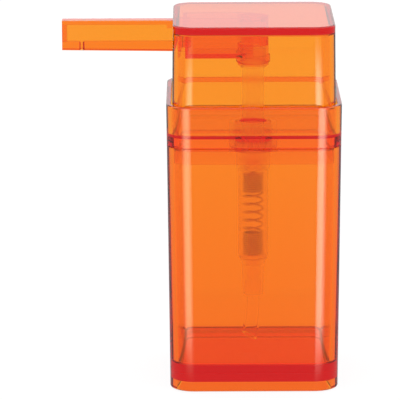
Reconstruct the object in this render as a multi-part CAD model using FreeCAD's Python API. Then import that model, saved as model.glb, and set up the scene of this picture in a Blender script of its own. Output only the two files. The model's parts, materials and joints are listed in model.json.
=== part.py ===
import FreeCAD, Part
import math
import os

# Square press-pump liquid soap dispenser, one solid per piece.
# Frame: millimetres, +Z up, origin at the centre of the face that the tumbler rests on.
# The spout points along -X. The pump's axis is the Z axis.

V = FreeCAD.Vector
UP = V(0, 0, 1)

# ---- driving dimensions -------------------------------------------------------------------
SEAM = 0.2  # air gap between lid and tumbler rim
GLUE_GAP = 0.06  # gap between pieces that are bonded or pressed together
SLIDE_GAP = 0.35  # gap round the head inside the collar
RUN_GAP = 0.08  # radial running clearance of the pump's sliding fits
FACE_GAP = 0.02  # gap between faces that press on each other
DRAFT = 0.05  # mould draft of an upright wall
OVER = 1.0  # how far a cut reaches past the face that it opens

# tumbler
BASE_HALF = 34.2  # half width at the foot
RIM_HALF = 35.15  # half width at the rim
TUMBLER_H = 100.7
CORNER_R = 9.8  # outer corner radius of tumbler and collar
TUMBLER_WALL = 2.5  # at the rim
TUMBLER_WALL_LOW = 3.1  # at the inner floor
FLOOR_TOP = 10.4
FLOOR_FILLET = 1.3
FOOT_RECESS = 3.7
FOOT_WALL = 2.7
FOOT_EDGE = 0.7
RECESS_TAPER = 0.15

# collar
COLLAR_TOP = 117.8
COLLAR_HALF = 35.35
COLLAR_WALL = 2.1
TRAY_TOP = 106.0
TRAY_BOTTOM = 104.4
TRAY_HOLE_R = 5.6
BOSS_R = 7.9  # over the thread under the tray
BOSS_BOTTOM = 98.6
THREAD_DEPTH = 0.4
THREAD_CREST = 0.2  # half width of a ridge at its crest
THREAD_FOOT = 0.7  # half width of a ridge at its foot
THREAD_RIDGES = 3
SKIRT_GAP = 0.25
SKIRT_ROOT = 1.7  # thickness of the skirt inside the tumbler's rim
SKIRT_SHOULDER = 1.0
SKIRT_SHOULDER_Z = 99.4
SKIRT_TIP = 0.45
SKIRT_BOTTOM = 94.2
RIM_EDGE = 0.45

# head
HEAD_BOTTOM = 116.1
HEAD_TOP = 149.7
HEAD_HALF_TOP = 32.55
HEAD_CORNER_R = 8.5
HEAD_WALL = 1.9
PLATE = 3.4
PLATE_EDGE = 0.6
ROOF_FILLET = 0.8
SKIRT_EDGE = 0.35  # rounding of the head's lower edge

# spout
SPOUT_TIP = -77.75
SPOUT_HALF_Y = 3.0
SPOUT_LOW = 135.1  # underside at the head
SPOUT_RISE = 0.55  # how much higher the underside is at the tip
SPOUT_HIGH = 147.8
SPOUT_EDGE = 0.35
SPOUT_CAVITY_LOW = 139.0
SPOUT_CAVITY_HIGH = 145.9
SPOUT_SIDE = 1.85
SPOUT_END = 2.0
OUTLET_X = -69.8
OUTLET_R = 1.1
ROOT_LOW = 136.7
ROOT_HIGH = 145.4
ROOT_HALF_Y = 2.6
ROOT_END = -25.6
ROOT_CAVITY_HIGH = 144.4

# soap duct and socket under the top plate
DUCT_HALF_Y = 8.3
DUCT_BOTTOM = 133.1
DUCT_WALL = 1.75
DUCT_END_X = -28.6
DUCT_ENTRY_HALF_Y = 4.2
SOCKET_R = 6.35
SOCKET_FLANGE_R = 7.0
SOCKET_BOTTOM = 129.2
SOCKET_FLANGE_TOP = 133.4
SOCKET_BORE_TOP = 137.4
CHAMBER_R = 3.4
CHAMBER_TOP = 144.4

# pump, radii about the Z axis
STEM_R = 4.4
STEM_BORE_R = 2.6
STEM_BOTTOM = 84.9
STOP_RIB_Z = 95.5  # lower end of the ribs that stop the outlet ball
SPIGOT_R = 3.4
SPIGOT_TOP = 92.0
ADAPTER_R = 5.3
BARREL_R = 6.2
BARREL_UPPER_R = 6.9
BARREL_UPPER_LOW = 85.5
BARREL_BORE_R = 5.3
FLANGE_R = 7.7
FLANGE_LOW = 96.8
FLANGE_TOP = 97.8
BARREL_BOTTOM = 48.0
TAIL_R = 4.4
TAIL_BOTTOM = 33.0
BALL_CHAMBER_R = 2.9
BALL_CHAMBER_BOTTOM = 41.0
SEAT_R = 1.6
SEAT_Z = 39.5
INLET_BALL_R = 2.38
OUTLET_BALL_R = 2.0
OUTLET_SEAT_R = 1.5
OUTLET_SEAT_Z = 90.2
OUTLET_CONE_R = 2.3
PISTON_SEAT_TOP = 91.0
NUT_R = 9.9
NUT_BOTTOM = 95.4
NUT_TOP = 104.1
NUT_GROOVES = 28
GROOVE_R = 0.65
GROOVE_DEPTH = 0.3
BUSHING_BOTTOM = 94.4
BUSHING_FLANGE_R = 6.7
BUSHING_TOP = 104.9
WIPER_TOP = 105.7
CAGE_BORE_R = 2.0
CAGE_BAR_HALF = 0.4
CAGE_BAR_HEIGHT = 1.2
CAGE_SLEEVE = 3.1  # how far the cage reaches down into the ball's chamber
SEAT_FLANGE_R = 4.5
STOP_RIBS = 3
LIP = 0.25  # thickness of a soft lip's edge

# spring
WIRE_R = 0.4
SPRING_R = 3.95  # radius of the wire's centre line
SPRING_LOW = 48.95
SPRING_HIGH = 84.0
CLOSED_PITCH = 0.95
LOW_CLOSED_TURNS = 11
HIGH_CLOSED_TURNS = 9
OPEN_TURNS = 5

# dip tube
TUBE_R = 3.2
TUBE_BORE_R = 2.4
TUBE_TOP = 38.3
TUBE_BEND_Z = 30.0
TUBE_BEND_R = 76.0
TUBE_BEND_DEG = 12.5
TUBE_CUT_DEG = 28  # slope of the tube's lower end
TUBE_CUT_X = -2.0
TUBE_CUT_Z = 15.2
BALL_LIFT = 0.05  # gap between a resting ball and its seat


# ---- helpers ------------------------------------------------------------------------------
def rounded_square(half, radius, z):
    """Closed wire of a square with round corners in the plane at height z."""
    flat = half - radius
    mid = radius * math.sqrt(0.5)
    edges = []
    for quarter in range(4):
        turn = FreeCAD.Rotation(UP, 90 * quarter)
        line_start = turn.multVec(V(half, -flat, z))
        line_end = turn.multVec(V(half, flat, z))
        arc_mid = turn.multVec(V(flat + mid, flat + mid, z))
        arc_end = turn.multVec(V(flat, half, z))
        edges.append(Part.LineSegment(line_start, line_end).toShape())
        edges.append(Part.Arc(line_end, arc_mid, arc_end).toShape())
    return Part.Wire(edges)


def tapered_block(sections):
    """Solid through rounded squares given as (half, corner radius, z)."""
    wires = [rounded_square(*section) for section in sections]
    return Part.makeLoft(wires, True, True)


def turned(profile):
    """Solid of revolution about the Z axis from (radius, z) points."""
    points = [V(r, 0, z) for r, z in profile]
    face = Part.Face(Part.makePolygon(points + points[:1]))
    return face.revolve(V(0, 0, 0), UP, 360)


def tube(outer_r, inner_r, low, high):
    return turned([(inner_r, low), (outer_r, low), (outer_r, high), (inner_r, high)])


def rod(radius, low, high):
    return Part.makeCylinder(radius, high - low, V(0, 0, low))


def block(x0, x1, y0, y1, z0, z1):
    return Part.makeBox(x1 - x0, y1 - y0, z1 - z0, V(x0, y0, z0))


def edges_at(shape, z, reach=0.01):
    """Edges that lie flat at height z."""
    flat = []
    for edge in shape.Edges:
        box = edge.BoundBox
        if abs(box.ZMin - z) < reach and abs(box.ZMax - z) < reach:
            flat.append(edge)
    return flat


def tumbler_half(z):
    """Outer half width of the tumbler at height z."""
    return BASE_HALF + (RIM_HALF - BASE_HALF) * z / TUMBLER_H


def head_half(z):
    """Outer half width of the head at height z."""
    bottom = COLLAR_HALF - COLLAR_WALL - SLIDE_GAP
    return bottom + (HEAD_HALF_TOP - bottom) * (z - HEAD_BOTTOM) / (HEAD_TOP - HEAD_BOTTOM)


def ball_rise(ball_r, seat_r, seat_z, wide_r, wide_z):
    """Height of a ball's centre when it sits in the cone between (seat_r, seat_z) and (wide_r, wide_z)."""
    half_angle = math.atan2(wide_r - seat_r, wide_z - seat_z)
    contact_r = ball_r * math.cos(half_angle)
    contact_z = seat_z + (contact_r - seat_r) / math.tan(half_angle)
    return contact_z + ball_r * math.sin(half_angle)


# ---- container ----------------------------------------------------------------------------
def make_tumbler():
    body = tapered_block([(BASE_HALF, CORNER_R, 0), (RIM_HALF, CORNER_R, TUMBLER_H)])
    body = body.makeFillet(FOOT_EDGE, edges_at(body, 0))
    inner_r = CORNER_R - TUMBLER_WALL
    floor_half = tumbler_half(FLOOR_TOP) - TUMBLER_WALL_LOW
    mouth_half = RIM_HALF - TUMBLER_WALL
    slope = (mouth_half - floor_half) / (TUMBLER_H - FLOOR_TOP)
    cavity = tapered_block([
        (floor_half, CORNER_R - TUMBLER_WALL_LOW, FLOOR_TOP),
        (mouth_half + slope * OVER, inner_r, TUMBLER_H + OVER),
    ])
    cavity = cavity.makeFillet(FLOOR_FILLET, edges_at(cavity, FLOOR_TOP))
    recess_half = BASE_HALF - FOOT_WALL
    recess = tapered_block([
        (recess_half, CORNER_R - FOOT_WALL, -OVER),
        (recess_half - RECESS_TAPER, CORNER_R - FOOT_WALL, FOOT_RECESS),
    ])
    return body.cut(cavity).cut(recess)


# ---- lid ----------------------------------------------------------------------------------
def thread_ridges(radius, low, high):
    """Ring ridges that stand for a screw thread's crests, rooted a little inside the core."""
    ridges = []
    root = radius - THREAD_DEPTH - 0.1
    step = (high - low) / THREAD_RIDGES
    for index in range(THREAD_RIDGES):
        mid = low + step * (index + 0.5)
        ridges.append(turned([
            (root, mid - THREAD_FOOT),
            (radius, mid - THREAD_CREST),
            (radius, mid + THREAD_CREST),
            (root, mid + THREAD_FOOT),
        ]))
    return ridges


def make_collar():
    """Rim with a flat floor, a thin tapered skirt inside the tumbler and a threaded boss for the pump."""
    seat = TUMBLER_H + SEAM
    skirt_half = RIM_HALF - TUMBLER_WALL - SKIRT_GAP
    skirt_r = CORNER_R - TUMBLER_WALL - SKIRT_GAP
    ring = tapered_block([(RIM_HALF, CORNER_R, seat), (COLLAR_HALF, CORNER_R, COLLAR_TOP)])
    skirt = tapered_block([(skirt_half - DRAFT, skirt_r, SKIRT_BOTTOM), (skirt_half, skirt_r, seat + OVER)])
    hollow_sections = []
    for z, wall in ((SKIRT_BOTTOM - OVER, SKIRT_TIP), (SKIRT_SHOULDER_Z, SKIRT_SHOULDER),
                    (seat, SKIRT_ROOT), (TRAY_BOTTOM, SKIRT_ROOT + DRAFT)):
        hollow_sections.append((skirt_half - wall, skirt_r - wall, z))
    pocket_half = COLLAR_HALF - COLLAR_WALL
    pocket_r = CORNER_R - COLLAR_WALL
    pocket = tapered_block([
        (pocket_half - DRAFT, pocket_r, TRAY_TOP),
        (pocket_half, pocket_r, COLLAR_TOP + OVER),
    ])
    collar = ring.fuse(skirt).cut(tapered_block(hollow_sections)).cut(pocket)
    boss = [rod(BOSS_R - THREAD_DEPTH, BOSS_BOTTOM, TRAY_TOP - DRAFT)]
    boss += thread_ridges(BOSS_R, BOSS_BOTTOM + 0.3, TRAY_BOTTOM - THREAD_FOOT)
    collar = collar.multiFuse(boss).cut(rod(TRAY_HOLE_R, BOSS_BOTTOM - OVER, TRAY_TOP + OVER))
    return collar.makeFillet(RIM_EDGE, edges_at(collar, COLLAR_TOP))


def make_pump_gasket():
    return tube(FLANGE_R, BUSHING_FLANGE_R + GLUE_GAP, FLANGE_TOP + FACE_GAP, BOSS_BOTTOM - FACE_GAP)


def make_pump_barrel():
    return turned([
        (BARREL_BORE_R, FLANGE_TOP),
        (FLANGE_R, FLANGE_TOP),
        (FLANGE_R, FLANGE_LOW),
        (BARREL_UPPER_R, FLANGE_LOW),
        (BARREL_UPPER_R, BARREL_UPPER_LOW + 1.0),
        (BARREL_R, BARREL_UPPER_LOW),
        (BARREL_R, BARREL_BOTTOM + 1.0),
        (TAIL_R + 0.4, BARREL_BOTTOM - 1.6),
        (TAIL_R, BARREL_BOTTOM - 2.6),
        (TAIL_R - 0.2, TAIL_BOTTOM),
        (TUBE_R + 0.35, TAIL_BOTTOM),
        (TUBE_R + GLUE_GAP, TAIL_BOTTOM + 1.0),
        (TUBE_R + GLUE_GAP, TUBE_TOP + 0.2),
        (SEAT_R, TUBE_TOP + 0.2),
        (SEAT_R, SEAT_Z),
        (BALL_CHAMBER_R, BALL_CHAMBER_BOTTOM),
        (BALL_CHAMBER_R, BARREL_BOTTOM),
        (BARREL_BORE_R, BARREL_BOTTOM),
    ])


def make_closure_nut():
    """Ribbed screw cap that clamps the barrel's flange up against the boss."""
    inner_r = BOSS_R + 2 * GLUE_GAP
    lip_r = BARREL_UPPER_R + 2 * GLUE_GAP
    lip_top = FLANGE_LOW - FACE_GAP
    low_edge = 0.8
    high_edge = 0.3
    nut = turned([
        (lip_r, NUT_BOTTOM),
        (NUT_R - low_edge, NUT_BOTTOM),
        (NUT_R, NUT_BOTTOM + low_edge),
        (NUT_R, NUT_TOP - high_edge),
        (NUT_R - high_edge, NUT_TOP),
        (inner_r, NUT_TOP),
        (inner_r, lip_top),
        (lip_r, lip_top),
    ])
    grooves = []
    ring_r = NUT_R + GROOVE_R - GROOVE_DEPTH
    groove_low = NUT_BOTTOM + low_edge + 0.6
    for index in range(NUT_GROOVES):
        angle = 2 * math.pi * index / NUT_GROOVES
        spot = V(ring_r * math.cos(angle), ring_r * math.sin(angle), groove_low)
        grooves.append(Part.makeCylinder(GROOVE_R, NUT_TOP - NUT_BOTTOM, spot))
    return nut.cut(Part.makeCompound(grooves))


def make_stem_bushing():
    """Guide for the stem: flanged on the barrel, it fills the hole in the collar's floor."""
    bore = STEM_R + RUN_GAP
    outer = BARREL_BORE_R - FACE_GAP
    neck = TRAY_HOLE_R - 0.1
    flange = FLANGE_TOP + 2 * FACE_GAP
    flange_height = 0.5
    return turned([
        (bore, BUSHING_BOTTOM),
        (outer, BUSHING_BOTTOM),
        (outer, flange),
        (BUSHING_FLANGE_R, flange),
        (BUSHING_FLANGE_R, flange + flange_height),
        (neck, flange + flange_height),
        (neck, BUSHING_TOP),
        (bore, BUSHING_TOP),
    ])


def make_stem_wiper():
    """Soft ring on top of the bushing, its inner edge a fine lip that clears the stem by a hair."""
    low = BUSHING_TOP + 2 * FACE_GAP
    outer = TRAY_HOLE_R - 0.1
    lip = STEM_R + GLUE_GAP
    return turned([
        (lip, low),
        (outer, low),
        (outer, WIPER_TOP),
        (outer - 0.5, WIPER_TOP),
        (lip, low + LIP),
    ])


def make_ball_cage():
    """Flanged ring with crossed bars that keep the ball in its chamber."""
    low = BARREL_BOTTOM - CAGE_SLEEVE
    flange_top = SPRING_LOW - 0.1
    flange = tube(BARREL_BORE_R - 0.1, CAGE_BORE_R, BARREL_BOTTOM + FACE_GAP, flange_top)
    sleeve = tube(BALL_CHAMBER_R - 2 * FACE_GAP, CAGE_BORE_R, low, flange_top - 0.6)
    reach = CAGE_BORE_R + 0.3
    half = CAGE_BAR_HALF
    bars = [
        block(-reach, reach, -half, half, low, low + CAGE_BAR_HEIGHT),
        block(-half, half, -reach, reach, low, low + CAGE_BAR_HEIGHT),
    ]
    return flange.multiFuse([sleeve] + bars)


def helix_zone(pitch, height, base_z, start_angle):
    """One zone of the spring's centre line, and the angle where it ends."""
    helix = Part.makeHelix(pitch, height, SPRING_R)
    helix.rotate(V(0, 0, 0), UP, start_angle)
    helix.translate(V(0, 0, base_z))
    return helix, start_angle + 360.0 * height / pitch


def make_return_spring():
    """Round wire spring: closed coils, open coils, closed coils."""
    low = SPRING_LOW + WIRE_R
    high = SPRING_HIGH - WIRE_R
    low_height = CLOSED_PITCH * LOW_CLOSED_TURNS
    high_height = CLOSED_PITCH * HIGH_CLOSED_TURNS
    open_height = high - low - low_height - high_height
    open_pitch = open_height / OPEN_TURNS
    zones = []
    z = low
    angle = 0.0
    for pitch, height in ((CLOSED_PITCH, low_height), (open_pitch, open_height), (CLOSED_PITCH, high_height)):
        helix, angle = helix_zone(pitch, height, z, angle)
        zones.extend(helix.Edges)
        z += height
    path = Part.Wire(Part.__sortEdges__(zones))
    start = path.Edges[0].valueAt(path.Edges[0].FirstParameter)
    heading = path.Edges[0].tangentAt(path.Edges[0].FirstParameter)
    section = Part.Wire(Part.makeCircle(WIRE_R, start, heading))
    return path.makePipeShell([section], True, True)


def bent_rod(radius, top):
    """Round bar: straight down from top to the bend, then an arc that leans towards -X."""
    straight = rod(radius, TUBE_BEND_Z, top)
    section = Part.Face(Part.Wire(Part.makeCircle(radius, V(0, 0, TUBE_BEND_Z), UP)))
    bend = section.revolve(V(-TUBE_BEND_R, 0, TUBE_BEND_Z), V(0, 1, 0), TUBE_BEND_DEG)
    return straight.fuse(bend)


def make_dip_tube():
    pipe = bent_rod(TUBE_R, TUBE_TOP).cut(bent_rod(TUBE_BORE_R, TUBE_TOP + OVER))
    reach = 5 * TUBE_R
    trim = block(-reach, reach, -reach, reach, -reach, 0)
    trim.rotate(V(0, 0, 0), V(0, 1, 0), TUBE_CUT_DEG)
    trim.translate(V(TUBE_CUT_X, 0, TUBE_CUT_Z))
    return pipe.cut(trim).removeSplitter()


def make_inlet_ball():
    rise = ball_rise(INLET_BALL_R, SEAT_R, SEAT_Z, BALL_CHAMBER_R, BALL_CHAMBER_BOTTOM)
    return Part.makeSphere(INLET_BALL_R, V(0, 0, rise + BALL_LIFT))


# ---- moving head --------------------------------------------------------------------------
def root_window(x0, x1):
    """Cutter for an opening that the spout's root fits through."""
    half = ROOT_HALF_Y + GLUE_GAP
    return block(x0, x1, -half, half, ROOT_LOW - GLUE_GAP, ROOT_HIGH + GLUE_GAP)


def make_head_cap():
    body = tapered_block([
        (head_half(HEAD_BOTTOM), HEAD_CORNER_R, HEAD_BOTTOM),
        (head_half(HEAD_TOP), HEAD_CORNER_R, HEAD_TOP),
    ])
    body = body.makeFillet(PLATE_EDGE, edges_at(body, HEAD_TOP))
    inner_r = HEAD_CORNER_R - HEAD_WALL
    roof = HEAD_TOP - PLATE
    cavity = tapered_block([
        (head_half(HEAD_BOTTOM - OVER) - HEAD_WALL, inner_r, HEAD_BOTTOM - OVER),
        (head_half(roof) - HEAD_WALL, inner_r, roof),
    ])
    cavity = cavity.makeFillet(ROOF_FILLET, edges_at(cavity, roof))
    side = head_half(ROOT_LOW)
    cap = body.cut(cavity).cut(root_window(-side - OVER, -side + HEAD_WALL + OVER))
    return cap.makeFillet(SKIRT_EDGE, edges_at(cap, HEAD_BOTTOM))


def make_spout():
    """Thin hollow arm with a reduced root that goes through the head's wall into the socket."""
    wall_x = -head_half(SPOUT_HIGH) - GLUE_GAP
    shoulder_x = -head_half(SPOUT_LOW) - GLUE_GAP
    corners = [
        V(SPOUT_TIP, -SPOUT_HALF_Y, SPOUT_LOW + SPOUT_RISE),
        V(shoulder_x, -SPOUT_HALF_Y, SPOUT_LOW),
        V(wall_x, -SPOUT_HALF_Y, SPOUT_HIGH),
        V(SPOUT_TIP, -SPOUT_HALF_Y, SPOUT_HIGH),
    ]
    arm = Part.Face(Part.makePolygon(corners + corners[:1])).extrude(V(0, 2 * SPOUT_HALF_Y, 0))
    long_edges = [edge for edge in arm.Edges if edge.BoundBox.XLength > (wall_x - SPOUT_TIP) / 2]
    arm = arm.makeFillet(SPOUT_EDGE, long_edges)
    overlap = 1.5
    channel_end = wall_x - overlap - OVER
    root = block(wall_x - overlap, ROOT_END, -ROOT_HALF_Y, ROOT_HALF_Y, ROOT_LOW, ROOT_HIGH)
    side = SPOUT_HALF_Y - SPOUT_SIDE
    channel = block(SPOUT_TIP - OVER, channel_end, -side, side, SPOUT_CAVITY_LOW, SPOUT_CAVITY_HIGH)
    throat = block(channel_end - OVER, ROOT_END + OVER, -side, side, SPOUT_CAVITY_LOW, ROOT_CAVITY_HIGH)
    outlet_length = SPOUT_CAVITY_LOW - SPOUT_LOW + OVER
    outlet = Part.makeCylinder(OUTLET_R, outlet_length, V(OUTLET_X, 0, SPOUT_LOW - OVER / 2))
    return arm.fuse(root).cut(channel).cut(throat).cut(outlet)


def make_spout_end_plug():
    side = SPOUT_HALF_Y - SPOUT_SIDE - GLUE_GAP
    plug = block(SPOUT_TIP, SPOUT_TIP + SPOUT_END, -side, side,
                 SPOUT_CAVITY_LOW + GLUE_GAP, SPOUT_CAVITY_HIGH - GLUE_GAP)
    return plug.makeChamfer(0.15, plug.Edges)


def make_soap_duct():
    """Channel from the socket to the spout's root, bonded under the head's top plate, which closes it."""
    top = HEAD_TOP - PLATE - GLUE_GAP
    half = DUCT_HALF_Y
    inner = half - DUCT_WALL
    floor_top = DUCT_BOTTOM + DUCT_WALL
    channel = block(DUCT_END_X, 0, -half, half, DUCT_BOTTOM, top)
    hollow = block(DUCT_END_X + DUCT_WALL, OVER, -inner, inner, floor_top, top + OVER)
    channel = channel.cut(hollow).cut(root_window(DUCT_END_X - OVER, DUCT_END_X + DUCT_WALL + OVER))
    socket = rod(SOCKET_R, SOCKET_BOTTOM, top)
    flange = turned([
        (0, SOCKET_BOTTOM),
        (SOCKET_FLANGE_R - 1.3, SOCKET_BOTTOM),
        (SOCKET_FLANGE_R, SOCKET_BOTTOM + 1.5),
        (SOCKET_FLANGE_R, SOCKET_FLANGE_TOP),
        (0, SOCKET_FLANGE_TOP),
    ])
    duct = channel.multiFuse([socket, flange])
    bore = rod(ADAPTER_R + GLUE_GAP, SOCKET_BOTTOM - OVER, SOCKET_BORE_TOP)
    chamber = rod(CHAMBER_R, SOCKET_BORE_TOP - OVER, CHAMBER_TOP)
    entry_low = SOCKET_BORE_TOP + 0.6
    entry = block(-SOCKET_R - OVER, 0, -DUCT_ENTRY_HALF_Y, DUCT_ENTRY_HALF_Y, entry_low, CHAMBER_TOP)
    return duct.cut(bore).cut(chamber.fuse(entry)).removeSplitter()


def make_stem_adapter():
    """Flanged sleeve that holds the stem in the socket."""
    top = SOCKET_BORE_TOP - 1.0
    bore = STEM_R + FACE_GAP
    return turned([
        (bore, SOCKET_BOTTOM - 0.9),
        (ADAPTER_R - 0.1, SOCKET_BOTTOM - 0.9),
        (ADAPTER_R, SOCKET_BOTTOM - 0.2),
        (ADAPTER_R, top),
        (bore, top),
    ])


def make_stem():
    """Hollow stem, a spigot below for the piston and three ribs inside that stop the outlet ball."""
    stem_top = SOCKET_BORE_TOP - 1.1
    spigot_low = STEM_BOTTOM + 0.6
    edge = 0.4
    stem = turned([
        (STEM_BORE_R, spigot_low),
        (SPIGOT_R, spigot_low),
        (SPIGOT_R, SPIGOT_TOP),
        (STEM_R, SPIGOT_TOP + 0.6),
        (STEM_R, stem_top - edge),
        (STEM_R - edge, stem_top),
        (STEM_BORE_R, stem_top),
    ])
    ribs = []
    for index in range(STOP_RIBS):
        rib = block(STEM_BORE_R - 1.2, STEM_BORE_R + 0.5, -0.35, 0.35, STOP_RIB_Z, STOP_RIB_Z + 2.0)
        rib.rotate(V(0, 0, 0), UP, 360 / STOP_RIBS * index)
        ribs.append(rib)
    return stem.multiFuse(ribs)


def make_piston():
    """Waisted piston with a flared lip at each end."""
    outer = BARREL_BORE_R - RUN_GAP
    inner = SPIGOT_R + FACE_GAP
    low = STEM_BOTTOM + 0.9
    high = SPIGOT_TOP - 0.1
    waist = outer - 3 * LIP
    dish = 0.6  # depth of the hollow inside each lip
    straight = 0.9
    lip_end = 1.9
    return turned([
        (inner, low + dish),
        (waist, low + dish),
        (outer - LIP, low),
        (outer, low),
        (outer, low + straight),
        (waist, low + lip_end),
        (waist, high - lip_end),
        (outer, high - straight),
        (outer, high),
        (outer - LIP, high),
        (waist, high - dish),
        (inner, high - dish),
    ])


def make_piston_seat():
    """Hollow plug in the stem's lower end, the spring pushes on its flange."""
    bore = OUTLET_SEAT_R
    flange_low = SPRING_HIGH + FACE_GAP
    flange_top = STEM_BOTTOM + 0.5
    shank = STEM_BORE_R - FACE_GAP
    edge = 0.3
    return turned([
        (bore, flange_low),
        (SEAT_FLANGE_R, flange_low),
        (SEAT_FLANGE_R, flange_top - edge),
        (SEAT_FLANGE_R - edge, flange_top),
        (shank, flange_top),
        (shank, PISTON_SEAT_TOP),
        (OUTLET_CONE_R, PISTON_SEAT_TOP),
        (bore, OUTLET_SEAT_Z),
    ])


def make_outlet_ball():
    centre = ball_rise(OUTLET_BALL_R, OUTLET_SEAT_R, OUTLET_SEAT_Z, OUTLET_CONE_R, PISTON_SEAT_TOP)
    return Part.makeSphere(OUTLET_BALL_R, V(0, 0, centre + BALL_LIFT))


PIECES = {
    "tumbler": make_tumbler,
    "collar": make_collar,
    "pump_gasket": make_pump_gasket,
    "pump_barrel": make_pump_barrel,
    "closure_nut": make_closure_nut,
    "stem_bushing": make_stem_bushing,
    "stem_wiper": make_stem_wiper,
    "ball_cage": make_ball_cage,
    "return_spring": make_return_spring,
    "dip_tube": make_dip_tube,
    "inlet_ball": make_inlet_ball,
    "head_cap": make_head_cap,
    "spout": make_spout,
    "spout_end_plug": make_spout_end_plug,
    "soap_duct": make_soap_duct,
    "stem_adapter": make_stem_adapter,
    "stem": make_stem,
    "piston": make_piston,
    "piston_seat": make_piston_seat,
    "outlet_ball": make_outlet_ball,
}


def main():
    os.makedirs("parts", exist_ok=True)
    for name, make in PIECES.items():
        shape = make()
        box = shape.BoundBox
        print(f"{name}: {len(shape.Solids)} solid, valid {shape.isValid()}, volume {shape.Volume:.1f},"
              f" z {box.ZMin:.2f}..{box.ZMax:.2f}")
        shape.Solids[0].exportStep(f"parts/{name}.step")


main()
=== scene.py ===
import json
import math

import bpy
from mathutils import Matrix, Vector


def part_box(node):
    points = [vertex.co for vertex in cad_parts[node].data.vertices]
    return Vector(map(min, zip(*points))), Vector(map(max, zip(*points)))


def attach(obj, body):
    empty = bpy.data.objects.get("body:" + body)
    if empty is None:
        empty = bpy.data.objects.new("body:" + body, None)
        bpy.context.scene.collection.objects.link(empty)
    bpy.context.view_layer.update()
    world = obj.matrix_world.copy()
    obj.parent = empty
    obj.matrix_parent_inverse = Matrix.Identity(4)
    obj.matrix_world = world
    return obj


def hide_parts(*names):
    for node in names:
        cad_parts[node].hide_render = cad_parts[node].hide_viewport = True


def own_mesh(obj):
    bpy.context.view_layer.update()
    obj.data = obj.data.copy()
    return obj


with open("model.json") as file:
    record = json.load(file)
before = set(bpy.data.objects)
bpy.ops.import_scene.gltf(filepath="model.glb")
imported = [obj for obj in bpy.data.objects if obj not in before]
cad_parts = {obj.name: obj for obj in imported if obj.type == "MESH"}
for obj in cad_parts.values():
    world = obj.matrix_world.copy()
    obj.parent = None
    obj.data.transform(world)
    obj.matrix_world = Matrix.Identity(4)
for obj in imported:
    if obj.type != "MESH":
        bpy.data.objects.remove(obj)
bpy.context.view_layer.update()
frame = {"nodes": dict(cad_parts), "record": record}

MM = 0.001
COLOUR_A, COLOUR_B, COLOUR_RESULT = 6, 7, 2  # a Mix node's sockets for colours


# ---- node helpers -------------------------------------------------------------------------
def new_material(name):
    """Material with an empty node tree but for its output. Returns material, tree, output."""
    mat = bpy.data.materials.new(name)
    mat.use_nodes = True
    tree = mat.node_tree
    tree.nodes.clear()
    out = tree.nodes.new("ShaderNodeOutputMaterial")
    return mat, tree, out


def add(tree, kind, inputs=None, **settings):
    """New node with settings as attributes and inputs as socket values or links."""
    node = tree.nodes.new(kind)
    for key, value in settings.items():
        setattr(node, key, value)
    for key, value in (inputs or {}).items():
        if isinstance(value, bpy.types.NodeSocket):
            tree.links.new(value, node.inputs[key])
        else:
            node.inputs[key].default_value = value
    return node


def noise(tree, scale, detail=3.0, stretch=(1, 1, 1)):
    """Noise in object space, scale per metre, drawn out along the axes by stretch."""
    where = add(tree, "ShaderNodeTexCoord").outputs["Object"]
    mapped = add(tree, "ShaderNodeMapping", {"Vector": where, "Scale": [1 / s for s in stretch]})
    return add(tree, "ShaderNodeTexNoise",
               {"Vector": mapped.outputs["Vector"], "Scale": scale, "Detail": detail}).outputs["Fac"]


def remap(tree, value, low, high, from_low=0.0, from_high=1.0):
    """Value moved from the range from_low..from_high to low..high, and held inside it."""
    return add(tree, "ShaderNodeMapRange",
               {"Value": value, "From Min": from_low, "From Max": from_high,
                "To Min": low, "To Max": high}).outputs["Result"]


def mix(tree, factor, first, second):
    """Colour between first and second, which are RGB tuples or links."""
    ends = [value if isinstance(value, bpy.types.NodeSocket) else (*value, 1) for value in (first, second)]
    inputs = {"Factor": factor, COLOUR_A: ends[0], COLOUR_B: ends[1]}
    return add(tree, "ShaderNodeMix", inputs, data_type="RGBA").outputs[COLOUR_RESULT]


def bump(tree, height, strength, distance, under=None):
    """Normal from a height, distance in metres, on top of another bump if one is given."""
    inputs = {"Height": height, "Strength": strength, "Distance": distance}
    if under is not None:
        inputs["Normal"] = under
    return add(tree, "ShaderNodeBump", inputs).outputs["Normal"]


# ---- materials ----------------------------------------------------------------------------
ABSORB_PER_M = (6.0, 235.0, 1200.0)  # red, green and blue light lost per metre of orange plastic
ORANGE_IOR = 1.58
# Chosen for the look, far below the 1.4 to 1.5 of real ones: inside the orange walls the pump stays a
# faint shadow, and where the lid is lifted off it looks too faint.
NATURAL_IOR = 1.045
TUBE_IOR = 1.03
RUBBER_IOR = 1.03


def absorption(tree, out, per_metre):
    """Volume absorption with the given loss per metre in each channel."""
    density = max(per_metre)
    colour = [1 - value / density for value in per_metre] + [1]
    volume = add(tree, "ShaderNodeVolumeAbsorption", {"Color": colour, "Density": density})
    tree.links.new(volume.outputs["Volume"], out.inputs["Volume"])


def clear_orange():
    """Polished clear polystyrene, tinted orange: faint flow waviness and hair-fine wear."""
    mat, tree, out = new_material("clear_orange")
    flow = noise(tree, 60, 2, (1, 1, 2.5))
    wear = noise(tree, 900, 4)
    waviness = bump(tree, flow, 0.03, 0.0004)
    surface = bump(tree, wear, 0.01, 0.00002, waviness)
    shader = add(tree, "ShaderNodeBsdfPrincipled", {
        "Base Color": (0.987, 0.85, 0.8, 1),
        "Roughness": remap(tree, wear, 0.0, 0.025, 0.35, 0.75),
        "IOR": ORANGE_IOR,
        "Transmission Weight": 1.0,
        "Normal": surface,
    })
    tree.links.new(shader.outputs["BSDF"], out.inputs["Surface"])
    absorption(tree, out, ABSORB_PER_M)
    return mat


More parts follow.
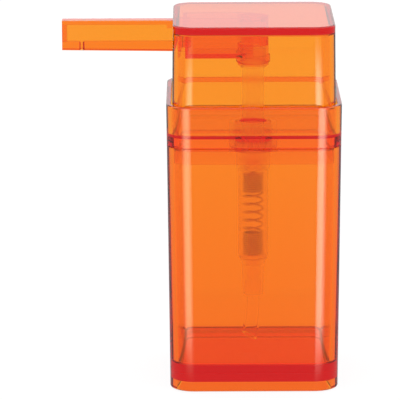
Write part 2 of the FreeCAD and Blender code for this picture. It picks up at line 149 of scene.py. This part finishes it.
def natural_plastic():
    """Natural polypropylene: milky, slightly warm, satin."""
    mat, tree, out = new_material("natural_plastic")
    cloud = noise(tree, 250, 3)
    skin = noise(tree, 2500, 2)
    shader = add(tree, "ShaderNodeBsdfPrincipled", {
        "Base Color": (1.0, 0.95, 0.9, 1),
        "Roughness": remap(tree, cloud, 0.4, 0.55),
        "IOR": NATURAL_IOR,
        "Transmission Weight": 1.0,
        "Normal": bump(tree, skin, 0.05, 0.00003),
    })
    tree.links.new(shader.outputs["BSDF"], out.inputs["Surface"])
    return mat


def clear_tube():
    """Clear extruded tube with faint lines along its length."""
    mat, tree, out = new_material("clear_tube")
    lines = noise(tree, 1500, 2, (1, 1, 40))
    shader = add(tree, "ShaderNodeBsdfPrincipled", {
        "Base Color": (1.0, 0.985, 0.97, 1),
        "Roughness": remap(tree, lines, 0.03, 0.12),
        "IOR": TUBE_IOR,
        "Transmission Weight": 1.0,
        "Normal": bump(tree, lines, 0.1, 0.00004),
    })
    tree.links.new(shader.outputs["BSDF"], out.inputs["Surface"])
    return mat


def spring_steel():
    """Drawn stainless wire: fine lines round the wire and slight dark patches."""
    mat, tree, out = new_material("spring_steel")
    drawn = noise(tree, 5000, 3)
    patch = noise(tree, 300, 2)
    shader = add(tree, "ShaderNodeBsdfPrincipled", {
        "Base Color": mix(tree, patch, (0.8, 0.79, 0.78), (0.95, 0.94, 0.93)),
        "Metallic": 1.0,
        "Roughness": remap(tree, drawn, 0.2, 0.38),
        "Normal": bump(tree, drawn, 0.15, 0.00002),
    })
    tree.links.new(shader.outputs["BSDF"], out.inputs["Surface"])
    return mat


def soft_rubber():
    """Matt off-white elastomer, thin enough to let light through, with a fine moulded grain."""
    mat, tree, out = new_material("soft_rubber")
    grain = noise(tree, 3000, 3)
    cloud = noise(tree, 200, 2)
    shader = add(tree, "ShaderNodeBsdfPrincipled", {
        "Base Color": mix(tree, cloud, (0.9, 0.86, 0.8), (1.0, 0.97, 0.92)),
        "Roughness": remap(tree, grain, 0.55, 0.75),
        "IOR": RUBBER_IOR,
        "Transmission Weight": 1.0,
        "Normal": bump(tree, grain, 0.2, 0.00005),
    })
    tree.links.new(shader.outputs["BSDF"], out.inputs["Surface"])
    return mat


MATERIALS = {
    "clear_orange": clear_orange(),
    "natural_plastic": natural_plastic(),
    "clear_tube": clear_tube(),
    "spring_steel": spring_steel(),
    "soft_rubber": soft_rubber(),
}


def dress_cad_nodes():
    """Every CAD node gets the material of its slot in the record."""
    slots = {part["node"]: part["material_slot"] for part in frame["record"]["subparts"]}
    for name, node in frame["nodes"].items():
        node.data.materials.clear()
        node.data.materials.append(MATERIALS[slots[name]])


# ---- pieces made here ---------------------------------------------------------------------
WIRE = 0.8 * MM
CLOSED_PITCH = 1.08 * WIRE
LOW_TURNS, OPEN_TURNS, HIGH_TURNS = 11, 5, 9  # closed, open and closed coils from below
EASE_TURNS = 0.35  # turns over which the pitch changes
EASE_SAMPLES = 5
STEPS_PER_TURN = 40
STEPS_AROUND = 14


def helix_point(turn, radius, height):
    angle = 2 * math.pi * turn
    return Vector((radius * math.cos(angle), radius * math.sin(angle), height))


def spring_zones(low, high):
    """Turns done and height of the wire's centre line at the ends of the spring's three zones."""
    bottom = low + WIRE / 2
    top = high - WIRE / 2
    return [
        (0, bottom),
        (LOW_TURNS, bottom + CLOSED_PITCH * LOW_TURNS),
        (LOW_TURNS + OPEN_TURNS, top - CLOSED_PITCH * HIGH_TURNS),
        (LOW_TURNS + OPEN_TURNS + HIGH_TURNS, top),
    ]


def coil_height(turn, zones):
    """Height at a turn, averaged over a short stretch so that the pitch changes smoothly."""
    total = 0.0
    for index in range(EASE_SAMPLES):
        spot = turn + EASE_TURNS * (index - (EASE_SAMPLES - 1) / 2) / EASE_SAMPLES
        spot = min(max(spot, 0.0), zones[-1][0])
        for (t0, z0), (t1, z1) in zip(zones, zones[1:]):
            if spot <= t1:
                total += z0 + (z1 - z0) * (spot - t0) / (t1 - t0)
                break
    return total / EASE_SAMPLES


def wire_ring(turn, radius, zones):
    """Points round the wire at a turn."""
    ahead_turn = turn + 0.001
    centre = helix_point(turn, radius, coil_height(turn, zones))
    ahead = helix_point(ahead_turn, radius, coil_height(ahead_turn, zones))
    along = (ahead - centre).normalized()
    outward = Vector((centre.x, centre.y, 0)).normalized()
    across = along.cross(outward).normalized()
    outward = across.cross(along)
    ring = []
    for spoke in range(STEPS_AROUND):
        angle = 2 * math.pi * spoke / STEPS_AROUND
        ring.append(centre + (outward * math.cos(angle) + across * math.sin(angle)) * WIRE / 2)
    return ring


def make_spring():
    """Return spring as a smooth round wire: closed coils, open coils, closed coils."""
    low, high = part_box("return_spring")
    zones = spring_zones(low.z, high.z)
    steps = zones[-1][0] * STEPS_PER_TURN
    verts = []
    faces = []
    for step in range(steps + 1):
        verts.extend(wire_ring(step / STEPS_PER_TURN, high.x - WIRE / 2, zones))
    for base in range(0, steps * STEPS_AROUND, STEPS_AROUND):
        above = base + STEPS_AROUND
        for spoke in range(STEPS_AROUND):
            other = (spoke + 1) % STEPS_AROUND
            faces.append((base + spoke, base + other, above + other, above + spoke))
    faces.append(tuple(reversed(range(STEPS_AROUND))))
    faces.append(tuple(range(steps * STEPS_AROUND, (steps + 1) * STEPS_AROUND)))
    mesh = bpy.data.meshes.new("pump_spring")
    mesh.from_pydata(verts, [], faces)
    mesh.update()
    for polygon in mesh.polygons:
        polygon.use_smooth = len(polygon.vertices) == 4
    spring = bpy.data.objects.new("pump_spring", mesh)
    bpy.context.collection.objects.link(spring)
    mesh.materials.append(MATERIALS["spring_steel"])
    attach(spring, "lid")
    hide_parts("return_spring")
    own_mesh(spring)


# ---- stage --------------------------------------------------------------------------------
SKY = 1.0  # radiance of the studio above the horizon
ROOM = 0.42  # radiance of the room below the horizon, which only reflections see
TABLE_GLOW = 0.895
TABLE_HALF = 40.0
TABLE_LEVEL = -0.3 * MM
# Orange light painted on the floor under the foot: its margin, rounded corner, fade and where it turns
# yellower
PAINTED_LIGHT_MARGIN = 3 * MM  # from the widest part of the tumbler in to the edge of its foot
PAINTED_LIGHT_CORNER = 10 * MM
PAINTED_LIGHT_FADE = 1.5 * MM
PAINTED_LIGHT_START_Y = -18 * MM  # from here back to the middle the light under the foot gets yellower
WHITE = (1.0, 1.0, 1.0)
# Colours of the orange light painted under the foot, at its front and towards its back
PAINTED_LIGHT_FRONT = (1.0, 0.31, 0.02)
PAINTED_LIGHT_BACK = (1.0, 0.52, 0.03)
BOX_LEFT = (1.0, 1.0, 0.7)
BOX_RIGHT = (1.0, 1.0, 0.85)
BOX_LEFT_POWER = 4.2
BOX_RIGHT_POWER = 5.4
# Where a soft box begins, is at full strength, is still at full strength and ends, in degrees
BOX_SIDEWAYS = (1, 16, 24, 50)
BOX_UPRIGHT = (-17.0, -15.6, -9.4, -8.2)


def painted_light_under_foot(tree):
    """White, but with orange light painted under the foot, standing in for the light that has come through
    the coloured plastic.
    """
    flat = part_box("tumbler")[1].x - PAINTED_LIGHT_MARGIN - PAINTED_LIGHT_CORNER
    place = add(tree, "ShaderNodeTexCoord").outputs["Object"]
    past = place
    for operation, operand in (("MULTIPLY", (1, 1, 0)), ("ABSOLUTE", None),
                               ("SUBTRACT", (flat, flat, 0)), ("MAXIMUM", (0, 0, 0))):
        inputs = {0: past} if operand is None else {0: past, 1: operand}
        past = add(tree, "ShaderNodeVectorMath", inputs, operation=operation).outputs[0]
    distance = add(tree, "ShaderNodeVectorMath", {0: past}, operation="LENGTH").outputs["Value"]
    inside = remap(tree, distance, 1.0, 0.0, PAINTED_LIGHT_CORNER - PAINTED_LIGHT_FADE, PAINTED_LIGHT_CORNER)
    depth = add(tree, "ShaderNodeSeparateXYZ", {0: place}).outputs["Y"]
    behind = remap(tree, depth, 0.0, 1.0, PAINTED_LIGHT_START_Y, 0.0)
    return mix(tree, inside, WHITE, mix(tree, behind, PAINTED_LIGHT_FRONT, PAINTED_LIGHT_BACK))


def make_floor():
    """White light table with orange light painted under the foot, which glossy reflections look past into the
    darker room.
    """
    corners = [(x * TABLE_HALF, y * TABLE_HALF, TABLE_LEVEL) for x, y in ((-1, -1), (1, -1), (1, 1), (-1, 1))]
    mesh = bpy.data.meshes.new("floor")
    mesh.from_pydata(corners, [], [(0, 1, 2, 3)])
    floor = bpy.data.objects.new("floor", mesh)
    bpy.context.collection.objects.link(floor)
    mat, tree, out = new_material("light_table")
    # The table's emission carries the orange light painted under the foot
    glow = add(tree, "ShaderNodeEmission", {"Color": painted_light_under_foot(tree), "Strength": TABLE_GLOW})
    matt = add(tree, "ShaderNodeBsdfDiffuse", {"Color": (0.15, 0.15, 0.15, 1)})
    both = add(tree, "ShaderNodeAddShader", {0: glow.outputs[0], 1: matt.outputs[0]})
    tree.links.new(both.outputs[0], out.inputs["Surface"])
    mesh.materials.append(mat)
    floor.visible_glossy = False


def fade(tree, value, zero_at, one_at):
    """Smooth step from 0 to 1 between two values."""
    inputs = {"Value": value, "From Min": zero_at, "From Max": one_at, "To Min": 0.0, "To Max": 1.0}
    return add(tree, "ShaderNodeMapRange", inputs, interpolation_type="SMOOTHSTEP").outputs["Result"]


def calculate(tree, operation, first, second):
    return add(tree, "ShaderNodeMath", {0: first, 1: second}, operation=operation).outputs[0]


def band(tree, value, degrees):
    """1 between the sines of the two middle angles, fading to 0 at the outer two."""
    zero_low, one_low, one_high, zero_high = (math.sin(math.radians(angle)) for angle in degrees)
    rise = fade(tree, value, zero_low, one_low)
    fall = fade(tree, value, zero_high, one_high)
    return calculate(tree, "MULTIPLY", rise, fall)


def make_world():
    """White studio above the horizon. Below it, seen only in reflections, a grey room with two
    soft boxes low on either side of the front."""
    world = bpy.data.worlds.new("studio")
    bpy.context.scene.world = world
    world.use_nodes = True
    tree = world.node_tree
    tree.nodes.clear()
    way = add(tree, "ShaderNodeTexCoord").outputs["Generated"]
    axes = add(tree, "ShaderNodeSeparateXYZ", {0: way})
    x, y, z = (axes.outputs[axis] for axis in "XYZ")
    sky = fade(tree, z, -0.06, -0.005)
    room = remap(tree, sky, ROOM, SKY)
    sideways = add(tree, "ShaderNodeMath", {0: x}, operation="ABSOLUTE").outputs[0]
    across = band(tree, sideways, BOX_SIDEWAYS)
    upright = band(tree, z, BOX_UPRIGHT)
    front = fade(tree, y, 0.0, -0.1)
    box = calculate(tree, "MULTIPLY", calculate(tree, "MULTIPLY", across, upright), front)
    right = fade(tree, x, -0.05, 0.05)
    power = remap(tree, right, BOX_LEFT_POWER, BOX_RIGHT_POWER)
    surroundings = add(tree, "ShaderNodeBackground", {"Color": (*WHITE, 1), "Strength": room})
    boxes = add(tree, "ShaderNodeBackground", {
        "Color": mix(tree, right, BOX_LEFT, BOX_RIGHT),
        "Strength": calculate(tree, "MULTIPLY", box, power),
    })
    both = add(tree, "ShaderNodeAddShader", {0: surroundings.outputs[0], 1: boxes.outputs[0]})
    out = add(tree, "ShaderNodeOutputWorld")
    tree.links.new(both.outputs[0], out.inputs["Surface"])


def make_camera():
    """Long lens in front of the dispenser, looking a little down on it."""
    data = bpy.data.cameras.new("camera")
    data.sensor_width = 36.0
    data.lens = 297.0
    data.clip_start = 0.05
    data.clip_end = 100.0
    camera = bpy.data.objects.new("camera", data)
    bpy.context.collection.objects.link(camera)
    camera.location = (-0.02187, -1.328, 0.3666)
    camera.rotation_euler = (math.radians(77.5075), math.radians(0.2), math.radians(-0.045))
    bpy.context.scene.camera = camera


def set_studio():
    """Plain tone curve, and enough bounces for light to pass all the nested clear walls."""
    scene = bpy.context.scene
    scene.view_settings.view_transform = "Standard"
    scene.cycles.max_bounces = 40
    scene.cycles.transmission_bounces = 40
    scene.cycles.glossy_bounces = 24
    scene.cycles.transparent_max_bounces = 24


dress_cad_nodes()
make_spring()
make_floor()
make_world()
make_camera()
set_studio()
